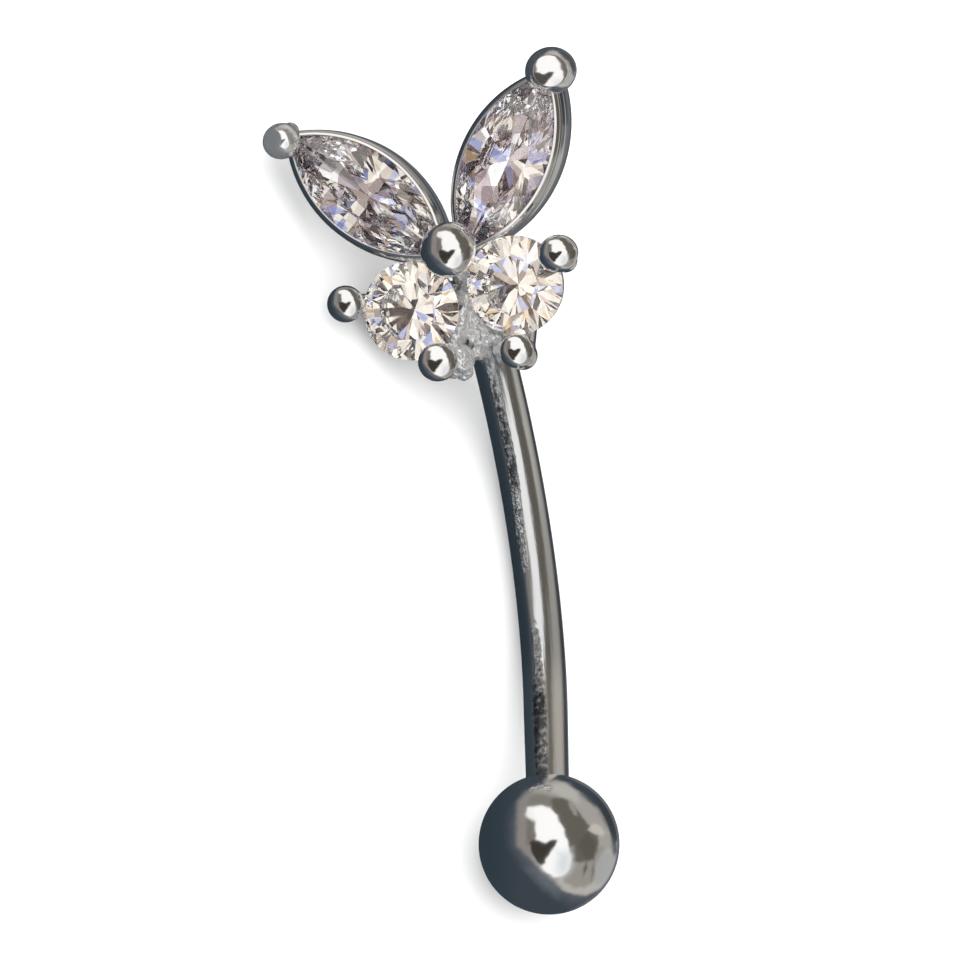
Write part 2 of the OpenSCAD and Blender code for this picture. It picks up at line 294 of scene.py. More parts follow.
class Shader:
    def __init__(self, owner):
        owner.use_nodes = True
        self.tree = owner.node_tree
        self.tree.nodes.clear()

    def node(self, kind, settings=None, values=None, output=0):
        # makes a node, sets it, and plugs in its fields; gives back one of its outputs
        made = self.tree.nodes.new("ShaderNode" + kind)
        for name, value in (settings or {}).items():
            if name == "stops":
                self.setStops(made.color_ramp, value)
            else:
                setattr(made, name, value)
        for name, value in (values or {}).items():
            if isinstance(value, Field):
                self.tree.links.new(value.socket, made.inputs[name])
            else:
                made.inputs[name].default_value = value
        return Field(self, made.outputs[output]) if made.outputs else None

    def setStops(self, ramp, stops):
        while len(ramp.elements) < len(stops):
            ramp.elements.new(1)
        for element, (position, tone) in zip(ramp.elements, stops):
            element.position, element.color = position, tone

    def mixColour(self, factor, first, second):
        given = {0: factor, 6: first, 7: second}
        return self.node("Mix", {"data_type": "RGBA"}, given, output=2)

    def dot(self, first, second):
        return self.node("VectorMath", {"operation": "DOT_PRODUCT"}, {0: first, 1: second}, output="Value")

    def finish(self, values):
        surface = self.node("BsdfPrincipled", {}, values)
        self.node("OutputMaterial", {}, {"Surface": surface})

    def ease(self, value, start, end):
        # 0 at start, 1 at end, smooth between; start may be the larger
        given = {"Value": value, "From Min": start, "From Max": end}
        return self.node("MapRange", {"interpolation_type": "SMOOTHSTEP"}, given)

    def noiseField(self, position, scale, detail=2.0, roughness=0.5):
        given = {"Vector": position, "Scale": scale, "Detail": detail, "Roughness": roughness}
        return self.node("TexNoise", {}, given)


def colour(red, green, blue):
    # a screen colour, 0 to 255, as linear light
    linear = []
    for part in (red, green, blue):
        v = part / 255
        linear.append(v / 12.92 if v <= 0.04045 else ((v + 0.055) / 1.055) ** 2.4)
    return (*linear, 1.0)


# Camera: level with the butterfly's face, a little to its right, far enough off to be almost flat

camera = {"swing": 17.0, "roll": 13.7, "distance": 400.0, "pxPerMm": 34.9, "framePx": 960, "sensor": 36.0,
          "rightPx": 27.9, "downPx": 227.0, "clip": (0.01, 10)}

swing, roll = math.radians(camera["swing"]), math.radians(camera["roll"])
toCamera = Vector((math.sin(swing), 0, math.cos(swing)))
level = Vector((math.cos(swing), 0, -math.sin(swing)))
upright = Vector((0, 1, 0))
right = math.cos(roll) * level - math.sin(roll) * upright
upward = math.sin(roll) * level + math.cos(roll) * upright
aim = camera["rightPx"] / camera["pxPerMm"] * right - camera["downPx"] / camera["pxPerMm"] * upward

lens = bpy.data.cameras.new("camera")
lens.sensor_width = camera["sensor"]
lens.lens = camera["pxPerMm"] * camera["distance"] * camera["sensor"] / camera["framePx"]
lens.clip_start, lens.clip_end = camera["clip"]
cameraObject = addObject("camera", lens)
standing = Matrix((turn @ right, turn @ upward, turn @ toCamera)).transposed().to_4x4()
standing.translation = toMetres @ (aim + camera["distance"] * toCamera)
cameraObject.matrix_world = standing
scene.camera = cameraObject
print("camera placed")


# Studio: a pale floor, and a room of soft panels. A panel is an outline, drawn anticlockwise, in the picture
# that a mirror ball gives of the room from in front: x to the right and y up, from -1 to 1 across the ball.

metalRoom = {
    "far corner": {"soft": 0.1, "colour": colour(60, 63, 68), "outline": [
        (0.3, 1.1), (0.45, 0.6), (0.75, 0.3), (0.82, 0), (1.2, -0.06), (1.2, 1.1)]},
    "room glow": {"soft": 0.16, "colour": colour(98, 102, 110), "outline": [
        (-0.46, 0.5), (-0.52, 0.3), (-0.5, 0), (-0.36, -0.22), (-0.12, -0.46), (0.14, -0.7), (0.32, -0.8),
        (0.55, -0.8), (0.76, -0.72), (0.92, -0.52), (1, -0.2), (0.6, 0.3), (0.1, 0.8), (-0.3, 0.7)]},
    "floor glow": {"soft": 0.1, "colour": colour(104, 110, 118), "outline": [
        (-0.3, -0.34), (-0.1, -0.58), (0.1, -0.72), (0.16, -0.58), (-0.12, -0.28)]},
    "dim wall": {"soft": 0.04, "colour": colour(172, 168, 161), "outline": [
        (-0.32, 0.68), (-0.41, 0.4), (-0.43, 0.14), (-0.385, -0.03), (-0.19, -0.27), (-0.01, -0.45),
        (0.16, -0.61), (0.33, -0.7), (0.52, -0.715), (0.71, -0.64), (0.84, -0.5), (0.9, -0.3),
        (0.9, -0.03), (0.86, 0.15), (0.79, 0.33), (0.685, 0.49), (0.52, 0.65), (0.39, 0.77), (0.27, 0.86),
        (0.11, 0.91), (-0.05, 0.9), (-0.19, 0.82)]},
    "wall light": {"soft": 0.03, "colour": colour(190, 187, 182), "outline": [
        (0.1, -0.5), (0.2, -0.63), (0.33, -0.7), (0.52, -0.715), (0.7, -0.64), (0.83, -0.5), (0.89, -0.3),
        (0.89, -0.08), (0.6, -0.08)]},
    "wall shade": {"soft": 0.04, "colour": colour(158, 154, 147), "outline": [
        (0.12, -0.4), (0.22, -0.54), (0.36, -0.615), (0.5, -0.61), (0.64, -0.52), (0.74, -0.37),
        (0.78, -0.2), (0.78, -0.04), (0.4, -0.04)]},
    "upper wall": {"soft": 0.04, "colour": colour(190, 186, 180), "outline": [
        (0.04, 0.72), (0.22, 0.66), (0.44, 0.55), (0.41, 0.74), (0.22, 0.87), (0.07, 0.85)]},
    "bright sill": {"soft": 0.05, "colour": colour(176, 177, 175), "outline": [
        (0.62, -0.34), (0.66, -0.58), (0.8, -0.58), (0.92, -0.4), (0.975, -0.22), (0.86, -0.12),
        (0.74, -0.12)]},
    "near wall": {"soft": 0.05, "colour": colour(146, 141, 137), "outline": [
        (-0.46, 0.6), (-0.46, -0.02), (-0.28, -0.18), (-0.16, -0.12), (-0.12, 0.74), (-0.34, 0.74)]},
    "ceiling": {"soft": 0.04, "colour": colour(134, 130, 123), "outline": [
        (-0.34, 0.5), (-0.1, 0.44), (0.1, 0.44), (0.17, 0.58), (0.1, 0.68), (-0.08, 0.72),
        (-0.27, 0.69)]},
    "open door": {"soft": 0.025, "colour": colour(104, 100, 92), "outline": [
        (0.02, 0.6), (0.18, 0), (0.27, -0.22), (0.42, -0.25), (0.63, -0.22), (0.68, -0.1), (0.7, 0.02),
        (0.67, 0.14), (0.54, 0.31), (0.43, 0.45), (0.33, 0.58), (0.21, 0.66), (0.07, 0.67)]},
    "door gap": {"soft": 0.03, "colour": colour(95, 91, 85), "outline": [
        (0.4, 0.02), (0.5, -0.2), (0.62, -0.2), (0.67, 0), (0.56, 0.18)]},
    "door edge": {"soft": 0.012, "colour": colour(158, 153, 146), "outline": [
        (0.26, 0.63), (0.35, 0.42), (0.4, 0.4), (0.38, 0.5), (0.31, 0.62)]},
    "shelf light": {"soft": 0.02, "colour": colour(200, 196, 188), "outline": [
        (0.54, 0.2), (0.66, 0.15), (0.77, 0.1), (0.79, 0.16), (0.72, 0.27), (0.63, 0.3)]},
    "chair back": {"soft": 0.016, "colour": colour(104, 97, 88), "outline": [
        (0.41, -0.5), (0.45, -0.5), (0.53, -0.34), (0.53, -0.2), (0.49, -0.2), (0.48, -0.34)]},
    "chair side": {"soft": 0.016, "colour": colour(128, 124, 118), "outline": [
        (0.53, -0.56), (0.58, -0.56), (0.64, -0.36), (0.63, -0.2), (0.6, -0.2), (0.59, -0.36)]},
    "curtain": {"soft": 0.03, "colour": colour(124, 118, 111), "outline": [
        (-0.33, 0.34), (-0.32, 0), (-0.18, 0), (-0.18, 0.2), (-0.24, 0.38)]},
    "window corner": {"soft": 0.02, "colour": (1.05, 1.04, 1.02, 1), "outline": [
        (-0.34, 0.43), (-0.21, 0.33), (-0.05, 0.42), (-0.08, 0.56), (-0.32, 0.53)]},
    "window": {"soft": 0.02, "colour": (1.12, 1.11, 1.09, 1), "outline": [
        (-0.22, 0.5), (-0.19, 0.16), (-0.13, -0.27), (-0.02, -0.41), (0.09, -0.46), (0.18, -0.44),
        (0.26, -0.38), (0.315, -0.24), (0.3, -0.09), (0.255, 0.07), (0.185, 0.26), (0.115, 0.4),
        (0.02, 0.51), (-0.1, 0.56)]},
    "window haze": {"soft": 0.1, "colour": colour(232, 235, 238), "outline": [
        (0.12, -0.1), (0.1, -0.36), (0.17, -0.44), (0.26, -0.38), (0.32, -0.24), (0.3, -0.08)]},
    "tripod": {"soft": 0.013, "colour": colour(60, 57, 52), "outline": [
        (-0.28, 0.03), (-0.26, -0.06), (-0.17, -0.24), (-0.11, -0.29), (-0.065, -0.26), (-0.03, -0.06),
        (-0.08, 0.02), (-0.16, 0.075), (-0.23, 0.07)]},
    "tripod arm": {"soft": 0.013, "colour": colour(60, 57, 52), "outline": [
        (-0.12, -0.2), (-0.07, -0.26), (0, -0.14), (0.1, -0.03), (0.118, 0.02), (0.1, 0.065),
        (0.05, 0.078), (0, 0.06), (-0.08, 0.01)]},
    "far lamp": {"soft": 0.015, "colour": colour(150, 152, 156), "outline": [
        (0.93, -0.35), (0.97, -0.3), (0.985, 0.02), (0.95, 0)]},
}
# the rest of the room: slate tones, the light round the limb of a ball, a slight waver, and the soft light
room = {
    "slate": (colour(50, 61, 69), colour(62, 71, 79)), "slateAcross": (-0.95, -0.3),
    "limb": colour(108, 111, 115), "limbFacing": (-0.8, -0.92), "limbAcross": (0.2, 0.5),
    "waverScale": 5.0, "waver": 0.07, "waverUp": 0.6, "softLight": (1.8, 1.8, 1.8, 1),
}
# what the stones gather from the whole room, from its darkest to its lightest parts
stoneRoom = {
    "scale": 6.0, "tones": [
        (0.34, colour(36, 27, 38)), (0.41, colour(88, 68, 62)), (0.445, colour(168, 148, 134)),
        (0.47, colour(224, 206, 190)), (0.5, colour(254, 245, 232)), (0.62, (1.32, 1.26, 1.15, 1)),
    ],
    "tintScale": 8.0, "tintDetail": 0.5, "lilac": colour(194, 202, 246), "lilacAt": (0.61, 0.65),
    "honey": colour(248, 218, 172), "honeyAt": (0.36, 0.33),
    "camera": colour(70, 56, 50), "cameraAt": (0.975, 0.995),
}
floorLook = {"half": 1.3, "tone": (0.93, 0.93, 0.93, 1), "roughness": 0.9}


def insideShape(shader, place, outline, soft):
    # 1 well inside the outline, 0 outside
    nearest = None
    for (ax, ay), (bx, by) in zip(outline, outline[1:] + outline[:1]):
        length = math.hypot(bx - ax, by - ay)
        nx, ny = (ay - by) / length, (bx - ax) / length
        edge = shader.dot(place, (nx, ny, -nx * ax - ny * ay))
        nearest = edge if nearest is None else nearest.maths("MINIMUM", edge)
    return shader.ease(nearest, -soft, soft)


def buildWorld():
    world = bpy.data.worlds.new("studio")
    scene.world = world
    shader = Shader(world)
    way = shader.node("TexCoord")
    facing = shader.dot(way, turn @ toCamera)
    # where a mirror ball, seen from in front, shows this part of the room
    stretch = ((facing + 1.0001) * 2) ** 0.5
    waver = (shader.noiseField(way, room["waverScale"]) - 0.5) * room["waver"]
    across = shader.dot(way, turn @ right) / stretch + waver
    upwards = shader.dot(way, turn @ upward) / stretch + waver * room["waverUp"]
    place = shader.node("CombineXYZ", {}, {0: across, 1: upwards, 2: 1.0})
    metalSeen = shader.mixColour(shader.ease(across, *room["slateAcross"]), *room["slate"])
    limb = shader.ease(facing, *room["limbFacing"]) * shader.ease(across, *room["limbAcross"])
    for panel in metalRoom.values():
        inside = insideShape(shader, place, panel["outline"], panel["soft"])
        metalSeen = shader.mixColour(inside, metalSeen, panel["colour"])
    metalSeen = shader.mixColour(limb, metalSeen, room["limb"])
    blotch = shader.noiseField(way, stoneRoom["scale"])
    stoneSeen = shader.node("ValToRGB", {"stops": stoneRoom["tones"]}, {0: blotch})
    tintSpot = shader.noiseField(way, stoneRoom["tintScale"], detail=stoneRoom["tintDetail"])
    for field, tint in ((tintSpot, "lilac"), (tintSpot, "honey"), (facing, "camera")):
        share = shader.ease(field, *stoneRoom[tint + "At"])
        stoneSeen = shader.mixColour(share, stoneSeen, stoneRoom[tint])
    light = shader.mixColour(shader.node("LightPath", output="Is Glossy Ray"), room["softLight"], metalSeen)
    light = shader.mixColour(shader.node("LightPath", output="Is Transmission Ray"), light, stoneSeen)
    background = shader.node("Background", {}, {"Color": light, "Strength": 1.0})
    shader.node("OutputWorld", {}, {"Surface": background})
    world.cycles.sampling_method = "NONE"


def buildFloor():
    half = floorLook["half"]
    data = bpy.data.meshes.new("floor")
    corners = [(-half, -half, 0), (half, -half, 0), (half, half, 0), (-half, half, 0)]
    data.from_pydata(corners, [], [(0, 1, 2, 3)])
    floor = addObject("floor", data)
    material = bpy.data.materials.new("paleFloor")
    shader = Shader(material)
    given = {"Base Color": floorLook["tone"], "Roughness": floorLook["roughness"], "Specular IOR Level": 0.0}
    shader.finish(given)
    data.materials.append(material)
    floor.visible_glossy = False


buildWorld()
buildFloor()
print("studio built")


# Finishes

# noise scales are per metre, the streaks' per millimetre; reliefs are shares of the bump's depth
skin = {
    "cloudScale": 900, "cloudDim": 0.93, "cloudRough": 0.6, "fineScale": 2600, "fineRelief": 0.25,
    "streakScale": 5.0, "streakRelief": 1.2, "streakRough": 0.06,
    "paintedSheenTone": (0.93, 0.92, 0.91, 1), "paintedSheenAlong": (1.25, 1.45),
    "pitScale": 7500, "pitSpread": 0.9, "wornAt": (0.3, 0.6), "wornRough": 0.08,
    "fleckAt": (0.53, 0.6), "fleckMetal": 0.5,
    "speckScale": 5000, "grimeAndShadeAt": (0.75, 1.25), "grimeAndShadeTone": (0.095, 0.1, 0.108, 1),
    "lumpScale": 7000, "grainScale": 14000, "bumpStrength": 0.35, "bumpDepth": 0.00002,
}
# painted reflections in the wings' stones: dark cells and blue flashes painted into their colour
paintedFacets = {"scale": 1700, "edge": 0.01, "blueShare": 0.13, "blue": (0.3, 0.33, 0.6, 1)}
zirconBend = 2.1


def steelMaterial(name, tone, roughness, metal=1.0, scuff=0.0, grain=0.0, drawn=False):
    material = bpy.data.materials.new(name)
    shader = Shader(material)
    place = shader.node("TexCoord", output="Object")
    cloud = shader.noiseField(place, skin["cloudScale"], detail=3)
    base = shader.mixColour(cloud, tone, tuple(skin["cloudDim"] * part for part in tone[:3]) + (1,))
    rough = roughness + cloud * (roughness * skin["cloudRough"])
    height = shader.noiseField(place, skin["fineScale"]) * skin["fineRelief"]
    if drawn:
        # fine streaks along the bar, in millimetres round it and tenths along it
        onBar = shader.node("Attribute", {"attribute_name": "barPlace"}, output="Vector")
        lines = shader.noiseField(onBar, skin["streakScale"], detail=4, roughness=0.6)
        height = height + lines * skin["streakRelief"]
        rough = rough + lines * skin["streakRough"]
        # the bar's tone is lighter towards the ball end, a painted sheen
        along = shader.node("SeparateXYZ", {}, {0: onBar}, output="Z")
        base = shader.mixColour(shader.ease(along, *skin["paintedSheenAlong"]), base, skin["paintedSheenTone"])
    if scuff:
        # worn metal: the bar's pitted strip, and a nub's filed face
        mask = shader.node("Attribute", {"attribute_name": "scuff"}, output="Fac")
        pits = shader.noiseField(place, skin["pitScale"], detail=4, roughness=0.6)
        worn = shader.ease(mask + (pits - 0.5) * skin["pitSpread"], *skin["wornAt"])
        height = height + worn * pits * scuff
        rough = rough + worn * skin["wornRough"]
    if drawn:
        # the edges of the bar's pits scatter light, and dark specks lie in them; the grime layer also brings
        # the painted shade near the ball
        metal = 1.0 - shader.ease(pits * mask, *skin["fleckAt"]) * skin["fleckMetal"]
        grimeAndShade = shader.node("Attribute", {"attribute_name": "grime"}, output="Fac")
        specks = shader.noiseField(place, skin["speckScale"], detail=3, roughness=0.6)
        base = shader.mixColour(shader.ease(grimeAndShade + specks, *skin["grimeAndShadeAt"]), base, skin["grimeAndShadeTone"])
    if grain:
        lumps = shader.node("TexVoronoi", {}, {"Vector": place, "Scale": skin["lumpScale"]})
        height = height + lumps * grain + shader.noiseField(place, skin["grainScale"], detail=4) * grain
    relief = {"Height": height, "Strength": skin["bumpStrength"], "Distance": skin["bumpDepth"]}
    bump = shader.node("Bump", {}, relief)
    shader.finish({"Base Color": base, "Metallic": metal, "Roughness": rough, "Normal": bump})
    return material


def stoneMaterial(name, tint, darkReflectionTone=None, share=0.33):
    material = bpy.data.materials.new(name)
    shader = Shader(material)
    # dark cells stand for facets that reflect dark surroundings, blue cells for flashes: painted reflections
    if darkReflectionTone:
        place = shader.node("TexCoord", output="Object")
        cells = shader.node("TexVoronoi", {}, {"Vector": place, "Scale": paintedFacets["scale"]}, output="Color")

        def paintedCells(axis, part):
            return shader.ease(shader.dot(cells, axis), 1 - part - paintedFacets["edge"], 1 - part)

        paintedReflections = shader.mixColour(paintedCells((0, 1, 0), paintedFacets["blueShare"]), darkReflectionTone, paintedFacets["blue"])
        tint = shader.mixColour(paintedCells((1, 0, 0), share), tint, paintedReflections)
    shader.finish({"Base Color": tint, "Roughness": 0.0, "IOR": zirconBend, "Transmission Weight": 1.0})
    return material


steel = steelMaterial("polishedSteel", (0.9, 0.89, 0.885, 1), 0.075)
# the bar's steel is toned darker than the ball's, a painted shade
barSteel = steelMaterial("scuffedSteelWithPaintedLight", (0.725, 0.735, 0.745, 1), 0.12, scuff=30.0, drawn=True)
ballSteel = steelMaterial("softSteel", (0.9, 0.9, 0.9, 1), 0.085)
settingSteel = steelMaterial("settingSteel", (0.9, 0.885, 0.875, 1), 0.09)
filedSteel = steelMaterial("filedSteel", (0.9, 0.89, 0.89, 1), 0.07, metal=0.9, scuff=0.4)
pressedSteel = steelMaterial("pressedSteel", (0.9, 0.89, 0.89, 1), 0.07, metal=0.975)
solderSteel = steelMaterial("grainySolder", (0.9, 0.9, 0.9, 1), 0.17, metal=0.84, grain=2.8)
clearStone = stoneMaterial("clearStone", (1, 0.99, 0.98, 1))
# the wings' stones get painted reflections, and are toned greyer than the round stones, the right one more so
paintedReflectionStone = {
    "Left": stoneMaterial("paintedReflectionStone", (0.89, 0.88, 0.87, 1), (0.28, 0.23, 0.25, 1)),
    "Right": stoneMaterial("darkerPaintedReflectionStone", (0.84, 0.83, 0.83, 1), (0.26, 0.2, 0.21, 1), share=0.38),
}
print("finishes made")


# Bent bar, with its thread

barMesh = {
    "sides": 72, "ringEvery": 0.12, "bevel": 0.04, "topDome": 10, "alongScale": 0.1,
    "pinRadius": 0.6, "pinLength": 1.8, "pitch": 0.25, "threadDeep": 0.12, "threadRings": 10,
    "threadStart": 0.001, "fadeIn": 0.15, "fadeOut": 0.2,
}
# wear on the bar's front, and a painted shade near the ball, by degrees round it and millimetres walked from
# its top. A step is how much a value changes, and where that begins and ends.
barWearAndShade = {
    "middle": [(-9, 6.5, 9.3), (11, 10.5, 12), (3, 12, 15)], "middleFrom": 1, "half": 13, "edge": 5,
    "scuff": [(1, 2.6, 3.0), (-1, 8.8, 11.0), (0.5, 11.0, 12.8), (-0.5, 14.6, 15.6)],
    "grime": [(0.25, 4.2, 5.4), (-0.25, 7.2, 8.2), (-0.4, 9.0, 10.6), (0.5, 11.4, 14.0)],
    "grimeFrom": 0.4, "grimeEdge": 6,
    "shade": 0.68, "shadeRound": (30, 10), "shadeShift": 2, "shadeAlong": (12.2, 15.0),
}


def barStations():
    # a point on the bar's axis, its direction and radius
    barRadius, top = barbell["barRadius"], -barbell["axisTop"]
    stations = []

    def straightStation(y, radius):
        stations.append((Vector((0, y, -barbell["axisBack"])), Vector((0, -1, 0)), radius))

    dome = barMesh["topDome"]
    for i in range(dome):
        a = math.pi / 2 * (1 - (i + 0.5) / dome)
        straightStation(top + barRadius * math.sin(a), barRadius * math.cos(a))
    straightSteps = int((barbell["bendStart"] + top) / barMesh["ringEvery"])
    for i in range(straightSteps):
        straightStation(top - (barbell["bendStart"] + top) * i / straightSteps, barRadius)
    bendSteps = int(barbell["bendRadius"] * endTurn / barMesh["ringEvery"])
    for i in range(bendSteps):
        a = barbell["bendAngle"] * i / bendSteps
        r = math.radians(a)
        stations.append((bendPoint(a), Vector((0, -math.cos(r), math.sin(r))), barRadius))
    endSteps = int(barbell["straight"] / barMesh["ringEvery"])
    for i in range(endSteps + 1):
        share = i / endSteps
        point = bendEnd + (barbell["straight"] - barMesh["bevel"]) * share * endWay
        taper = (barbell["endRadius"] - barRadius) * smoothStep(0, 1, share)
        stations.append((point, endWay, barRadius + taper))
    return stations


def stepped(start, steps, walked):
    return start + sum(height * smoothStep(begin, end, walked) for height, begin, end in steps)


def wearAndShadeAt(degreesRound, walked):
    # scuff and grime: strong at first, paused, and back near the ball, where the whole front also gets a
    # painted shade
    offset = degreesRound - stepped(barWearAndShade["middleFrom"], barWearAndShade["middle"], walked)
    outer, half = barWearAndShade["half"] + barWearAndShade["edge"], barWearAndShade["half"]
    scuff = smoothStep(outer, half - barWearAndShade["edge"], abs(offset)) * stepped(0, barWearAndShade["scuff"], walked)
    grime = stepped(barWearAndShade["grimeFrom"], barWearAndShade["grime"], walked)
    grime *= smoothStep(outer, half - barWearAndShade["grimeEdge"], abs(offset))
    shade = smoothStep(*barWearAndShade["shadeRound"], abs(offset + barWearAndShade["shadeShift"]))
    shade *= smoothStep(*barWearAndShade["shadeAlong"], walked) * barWearAndShade["shade"]
    return scuff, max(grime, shade)


def buildBar():
    mesh = bmesh.new()
    scuff = mesh.verts.layers.float.new("scuff")
    # the grime layer holds the grime and, near the ball, the painted shade
    grime = mesh.verts.layers.float.new("grime")
    barPlace = mesh.verts.layers.float_vector.new("barPlace")
    barRadius = barbell["barRadius"]
    rings = []
    stations = barStations()
    walked, last = 0.0, stations[0][0]

    def addRing(point, way, radiusAt):
        nonlocal walked, last
        walked += (point - last).length
        last = point
        side = Vector((1, 0, 0))
        front = way.cross(side).normalized()
        ring = []
        for i in range(barMesh["sides"]):
            a = 2 * math.pi * i / barMesh["sides"]
            cos, sin = math.cos(a), math.sin(a)
            vert = mesh.verts.new(point + radiusAt(a) * (cos * front + sin * side))
            vert[scuff], vert[grime] = wearAndShadeAt((math.degrees(a) + 180) % 360 - 180, walked)
            vert[barPlace] = (barRadius * cos, barRadius * sin, walked * barMesh["alongScale"])
            ring.append(vert)
        rings.append(ring)

    for point, way, radius in stations:
        addRing(point, way, lambda a, r=radius: r)
    addRing(shoulder, endWay, lambda a: barbell["endRadius"] - barMesh["bevel"])
    # the thread is a ridge that winds round the pin; its crests keep the pin's radius
    pin, length, deep = barMesh["pinRadius"], barMesh["pinLength"], barMesh["threadDeep"]
    ringCount = int(length / barMesh["pitch"] * barMesh["threadRings"])
    addRing(shoulder + barMesh["threadStart"] * endWay, endWay, lambda a: pin - deep)
    for i in range(1, ringCount + 1):
        depth = length * i / ringCount
        fade = smoothStep(0, barMesh["fadeIn"], depth)
        fade *= smoothStep(length, length - barMesh["fadeOut"], depth)

        def threadRadius(a, depth=depth, fade=fade):
            phase = (depth / barMesh["pitch"] - a / (2 * math.pi)) % 1
            ridge = 1 - abs(2 * phase - 1)
            return pin - deep * (1 - fade * ridge)
        addRing(shoulder + depth * endWay, endWay, threadRadius)
    ringsToFaces(mesh, rings)
    finishPiece("bentBar", mesh, barSteel)


buildBar()


# Screw-on ball: a sphere with a flat and a hole at the bar's side

ballMesh = {"segments": 128, "steps": 96, "poleGap": 1, "holeRadius": 0.63, "holeDeep": 1.9, "lip": 0.05,
            "drillTip": 0.2}


def buildBall():
    mesh = bmesh.new()
    radius, flat = barbell["ballRadius"], barbell["ballRadius"] - barbell["flatIn"]
    rim = math.degrees(math.acos(flat / radius))
    # the hole's mouth looks back along the bar, so heights run from the far pole to the flat
    profile = [(0, -radius)]
    profile += arcProfile(0, radius, ballMesh["poleGap"] - 90, 90 - rim, ballMesh["steps"])
    hole, bottom = ballMesh["holeRadius"], flat - ballMesh["holeDeep"]
    profile += [(hole, flat), (hole, flat - ballMesh["lip"]), (hole, bottom)]
    profile.append((0, bottom - ballMesh["drillTip"]))
    lathe(mesh, profile, towards(ballCentre, -endWay), ballMesh["segments"])
    finishPiece("screwBall", mesh, ballSteel, sharpAngle=30, body="ball", nodes=["screw_ball"])


buildBall()
print("bar and ball made")


# Marquise settings: a lens-shaped wall, with a groove under its rim, and let in beside the round stone

setting = {
    "letInZ": -0.45, "steps": 72,
    # inset from the outline, and height
    "profile": [
        (0.04, -1.1), (0.012, -1.09), (0, -1.06), (0, -0.56), (0, -0.52), (0.002, -0.5), (0.014, -0.455),
        (0.018, -0.44), (0.02, -0.42), (0.03, -0.2), (0.031, -0.185), (0.036, -0.172), (0.068, -0.15),
        (0.074, -0.14), (0.076, -0.125), (0.074, -0.075), (0.068, -0.062), (0.044, -0.048),
        (0.036, -0.04), (0.035, -0.03), (0.046, 0.0), (0.052, 0.012), (0.06, 0.022), (0.11, 0.075),
        (0.118, 0.083), (0.128, 0.088), (0.18, 0.112), (0.19, 0.115), (0.197, 0.111), (0.196, 0.1),
        (0.18, 0.06), (0.18, -0.17), (0.32, -0.17), (0.32, -1.1),
    ],
}


def onWing(row):
    spin = Matrix.Rotation(math.radians(90 - row["side"] * wing["angle"]), 4, "Z")
    lean = Matrix.Rotation(math.radians(-row["side"] * row["lean"]), 4, "X")
    return Matrix.Translation((row["x"], row["y"], 0)) @ spin @ lean


stoneInset = wing["wall"] + wing["stoneGap"]


def lensArcs(inset):
    # the radius of the outline's two arcs, how far they reach to the sides, and half their turn
    arc, half = wing["arc"] - inset, wing["halfWidth"] - inset
    return arc, half, math.acos((arc - half) / arc)


def lensOutline(inset, steps):
    # the pointed outline, drawn round from one tip to the other and back
    arc, half, tip = lensArcs(inset)
    points = []
    for side in (1, -1):
        for i in range(steps):
            a = side * tip * (1 - 2 * i / steps)
            points.append((arc * math.sin(a), side * (arc * math.cos(a) - (arc - half))))
    return points


def letIn(point, side):
    # a wall gives way to its round stone
    middle = Vector((side * roundStone["x"], roundStone["y"]))
    away = point.xy - middle
    clear = roundStone["radius"] + wing["stoneGap"]
    if point.z > setting["letInZ"] and away.length < clear:
        point.xy = middle + clear * away.normalized()
    return point


def buildMarquiseSetting(name, row):
    mesh = bmesh.new()
    place = onWing(row)
    rings = []
    for inset, z in setting["profile"]:
        outline = [place @ Vector((x, y, z)) for x, y in lensOutline(inset, setting["steps"])]
        rings.append([mesh.verts.new(letIn(point, row["side"])) for point in outline])
    ringsToFaces(mesh, rings + [rings[0]], capped=False)
    finishPiece(name, mesh, settingSteel, sharpAngle=50)


for word, row in wings.items():
    buildMarquiseSetting("wingSetting" + word, row)


# Round stones' seats: tapered rings that follow the stones

seat = {"topRadius": 1.375, "wallTop": 0.1, "lowRadius": 0.98, "lowZ": -1.15, "wallLow": 0.24,
        "outerZ": -0.32, "pavilion": 41, "girdleHalf": 0.03, "segments": 72, "weld": 1e-5}


def buildRoundSeat(name, side):
    mesh = bmesh.new()
    drop = math.tan(math.radians(seat["pavilion"]))
    clear = seat["girdleHalf"] + wing["stoneGap"] / math.cos(math.radians(seat["pavilion"]))

    def clearZ(radius):
        return -clear - (roundStone["radius"] - radius) * drop

    low, top = seat["lowRadius"], seat["topRadius"]
    inner, mouth = low - seat["wallLow"], top - seat["wallTop"]
    profile = [(mouth, clearZ(mouth)), (top, clearZ(top)), (top, seat["outerZ"]), (low, seat["lowZ"]),
               (inner, seat["lowZ"]), (inner, clearZ(inner)), (mouth, clearZ(mouth))]
    lathe(mesh, profile, Matrix.Translation((side * roundStone["x"], roundStone["y"], 0)), seat["segments"])
    bmesh.ops.remove_doubles(mesh, verts=mesh.verts, dist=seat["weld"])
    finishPiece(name, mesh, steel, sharpAngle=30)


for word, row in wings.items():
    buildRoundSeat("roundSeat" + word, row["side"])
print("settings made")


# Prongs of the round stones: a ball tip with a thick neck, on a wire that bends in under the stone

def buildSideProng(name, row):
    mesh = bmesh.new()
    tip = Vector(row["tip"])
    knee = Vector((row["x"], row["y"], wires["kneeZ"]))
    foot = footOf(row)
    pressedTip(mesh, tip, row["facing"], row["size"])
    x, y, z, radius = row["neck"]
    bead(mesh, (x, y, z), radius, segments=48)
    rod(mesh, knee, tip, wires["radius"])
    bead(mesh, knee, wires["kneeRadius"])
    rod(mesh, foot, knee, wires["radius"])
    bead(mesh, foot, wires["footRadius"])
    finishPiece(name, mesh, steel, sharpAngle=60)


for name, row in sideTips.items():
    buildSideProng(name, row)


